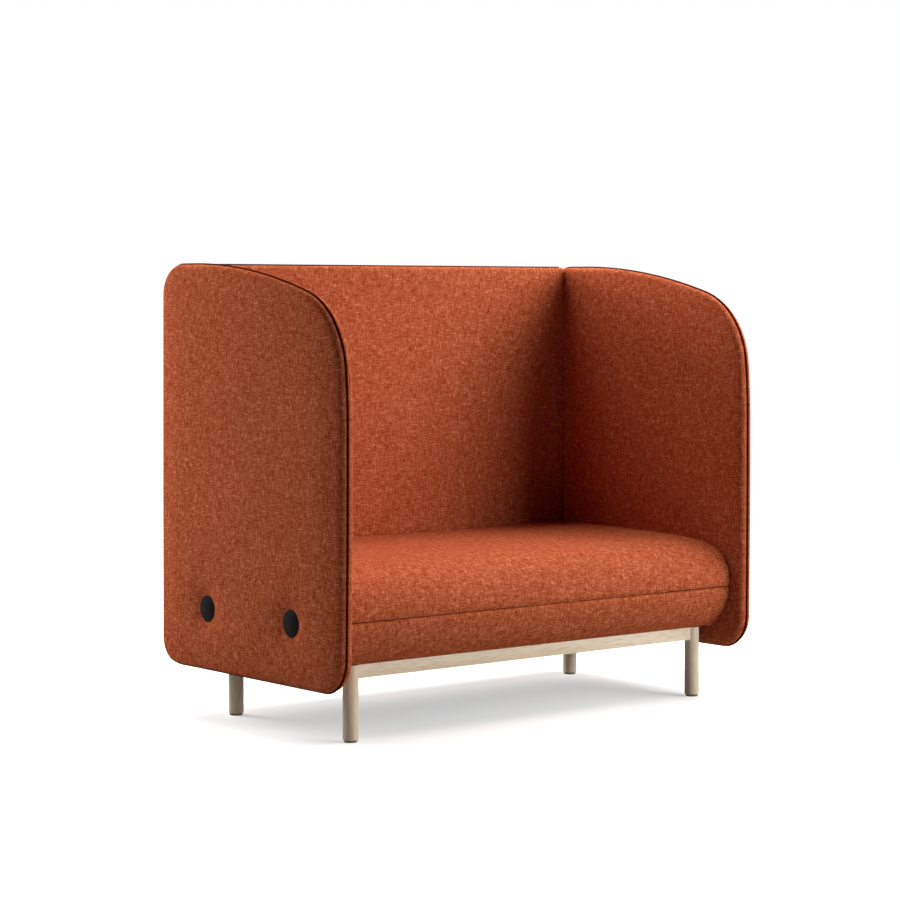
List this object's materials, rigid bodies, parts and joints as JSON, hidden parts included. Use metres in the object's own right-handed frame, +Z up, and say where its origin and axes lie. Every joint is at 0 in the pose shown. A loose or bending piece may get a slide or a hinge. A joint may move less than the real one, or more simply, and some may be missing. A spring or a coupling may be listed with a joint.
{
  "type": "high-back office sofa",
  "caption": "High-back office sofa: padded wings and back round a padded bench seat, black buttons on the wings, pale ash legs and rails with levelling glides.",
  "frame": {"origin": "on the floor, under the centre of the sofa's box", "axes": "+X along the seat to the right of someone facing the sofa, +Y to its rear, +Z up"},
  "size_m": [1.407, 0.833, 1.196],
  "materials": {
    "rust_fabric": "matte",
    "foam": "matte",
    "dark_tape": "matte",
    "black_button": "satin",
    "ash": "satin",
    "plywood": "matte",
    "beech_dowel": "matte",
    "webbing": "matte",
    "dust_cloth": "matte",
    "glide_plastic": "matte",
    "zinc_steel": "satin"
  },
  "bodies": {
    "sofa": {"back_board": "plywood", "back_bolts": "zinc_steel", "back_front_cover": "rust_fabric", "back_front_foam": "foam", "back_rear_cover": "rust_fabric", "back_rear_foam": "foam", "back_seam_tapes": "dark_tape", "back_spacers": "zinc_steel", "back_t_nuts": "zinc_steel", "back_washers": "zinc_steel", "base_screws": "zinc_steel", "corner_dowels": "beech_dowel", "front_rail": "ash", "left_rail": "ash", "left_wing_board": "plywood", "left_wing_button_front": "black_button", "left_wing_button_rear": "black_button", "left_wing_inner_cover": "rust_fabric", "left_wing_inner_foam": "foam", "left_wing_outer_cover": "rust_fabric", "left_wing_outer_foam": "foam", "left_wing_seam_tape": "dark_tape", "leg_front_left": "ash", "leg_front_right": "ash", "leg_inserts": "zinc_steel", "leg_rear_left": "ash", "leg_rear_right": "ash", "rear_rail": "ash", "right_rail": "ash", "right_wing_board": "plywood", "right_wing_button_front": "black_button", "right_wing_button_rear": "black_button", "right_wing_inner_cover": "rust_fabric", "right_wing_inner_foam": "foam", "right_wing_outer_cover": "rust_fabric", "right_wing_outer_foam": "foam", "right_wing_seam_tape": "dark_tape", "seat_bottom_board": "plywood", "seat_centre_beam": "plywood", "seat_dust_cover": "dust_cloth", "seat_foam": "foam", "seat_frame_screws": "zinc_steel", "seat_front_board": "plywood", "seat_left_end_board": "plywood", "seat_lower_cover": "rust_fabric", "seat_rear_board": "plywood", "seat_right_end_board": "plywood", "seat_upper_cover": "rust_fabric", "seat_webbing": "webbing", "wing_spacers": "zinc_steel", "wing_studs": "zinc_steel", "wing_t_nuts": "zinc_steel"},
    "glide_front_left": {"glide_front_left": "glide_plastic"},
    "glide_front_right": {"glide_front_right": "glide_plastic"},
    "glide_rear_left": {"glide_rear_left": "glide_plastic"},
    "glide_rear_right": {"glide_rear_right": "glide_plastic"}
  },
  "joints": [
    {"name": "front_left_levelling", "type": "slide", "parent": "sofa", "child": "glide_front_left", "axis": [0, 0, -1], "range_m": [0, 0.01]},
    {"name": "front_right_levelling", "type": "slide", "parent": "sofa", "child": "glide_front_right", "axis": [0, 0, -1], "range_m": [0, 0.01]},
    {"name": "rear_left_levelling", "type": "slide", "parent": "sofa", "child": "glide_rear_left", "axis": [0, 0, -1], "range_m": [0, 0.01]},
    {"name": "rear_right_levelling", "type": "slide", "parent": "sofa", "child": "glide_rear_right", "axis": [0, 0, -1], "range_m": [0, 0.01]}
  ]
}
